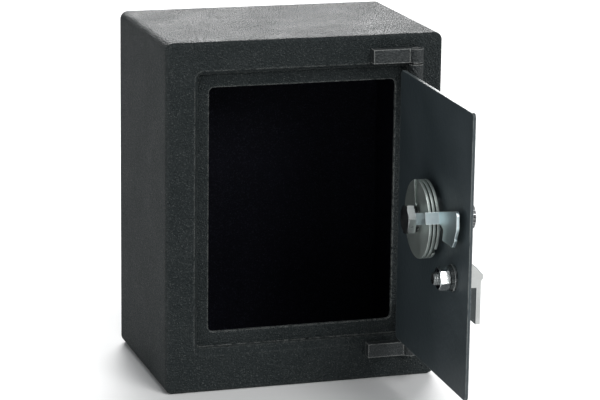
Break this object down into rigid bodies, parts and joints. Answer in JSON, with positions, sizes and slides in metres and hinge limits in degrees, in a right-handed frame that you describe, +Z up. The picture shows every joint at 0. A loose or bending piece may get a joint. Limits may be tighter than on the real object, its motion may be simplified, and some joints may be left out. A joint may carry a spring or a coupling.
{
  "type": "cash safe",
  "caption": "Small steel cash safe with rounded casing edges, a rebated hinged door, coaxial dial rings, slotted lock discs, a hooked bolt and a pull handle.",
  "frame": {"origin": "middle of the casing's flat underside", "axes": "+Z up, -Y out of the door opening, +X towards the hinged side"},
  "size_m": [0.14, 0.2056, 0.175],
  "materials": {
    "casing_paint": "fine textured powder coat, charcoal grey",
    "door_paint": "smooth satin paint, dark slate grey",
    "hinge_paint": "smooth satin paint, charcoal grey",
    "pin_steel": "plain turned steel",
    "bright_chrome": "polished chrome",
    "zinc_plate": "blue-white zinc plating",
    "disc_steel": "dull rolled steel, thinly oiled"
  },
  "bodies": {
    "safe_body": {"body_wrap": "casing_paint", "front_frame": "casing_paint", "back_panel": "casing_paint", "upper_hinge_strap": "hinge_paint", "lower_hinge_strap": "hinge_paint", "upper_hinge_pin": "pin_steel", "lower_hinge_pin": "pin_steel"},
    "door": {"door_panel": "door_paint", "upper_hinge_leaf": "hinge_paint", "lower_hinge_leaf": "hinge_paint", "lock_bush": "bright_chrome", "bush_nut": "zinc_plate", "pull_handle": "bright_chrome", "handle_stud": "zinc_plate", "handle_washer": "zinc_plate", "handle_lock_washer": "zinc_plate", "handle_nut": "zinc_plate"},
    "outer_code_set": {"outer_code_ring": "bright_chrome", "outer_code_sleeve": "zinc_plate", "rear_code_disc": "disc_steel"},
    "middle_code_set": {"middle_code_ring": "bright_chrome", "middle_code_sleeve": "zinc_plate", "middle_code_disc": "disc_steel"},
    "inner_code_set": {"inner_code_ring": "bright_chrome", "inner_code_sleeve": "zinc_plate", "front_code_disc": "disc_steel"},
    "bolt": {"turn_knob": "bright_chrome", "spindle_bolt": "zinc_plate", "cam_washer": "zinc_plate", "hook_cam": "zinc_plate"}
  },
  "joints": [
    {"name": "door_hinge", "type": "hinge", "parent": "safe_body", "child": "door", "pos_m": [0.0549, -0.0509, 0.0905], "axis": [0, 0, 1], "range_deg": [-88.5, 81.5]},
    {"name": "outer_ring_spin", "type": "hinge", "parent": "door", "child": "outer_code_set", "pos_m": [0.04537, -0.10557, 0.097], "axis": [-0.9997, 0.0262, 0], "continuous": true},
    {"name": "middle_ring_spin", "type": "hinge", "parent": "door", "child": "middle_code_set", "pos_m": [0.04537, -0.10557, 0.097], "axis": [-0.9997, 0.0262, 0], "continuous": true},
    {"name": "inner_ring_spin", "type": "hinge", "parent": "door", "child": "inner_code_set", "pos_m": [0.04537, -0.10557, 0.097], "axis": [-0.9997, 0.0262, 0], "continuous": true},
    {"name": "knob_turn", "type": "hinge", "parent": "door", "child": "bolt", "pos_m": [0.04537, -0.10557, 0.097], "axis": [-0.9997, 0.0262, 0], "range_deg": [-18, 72]}
  ]
}
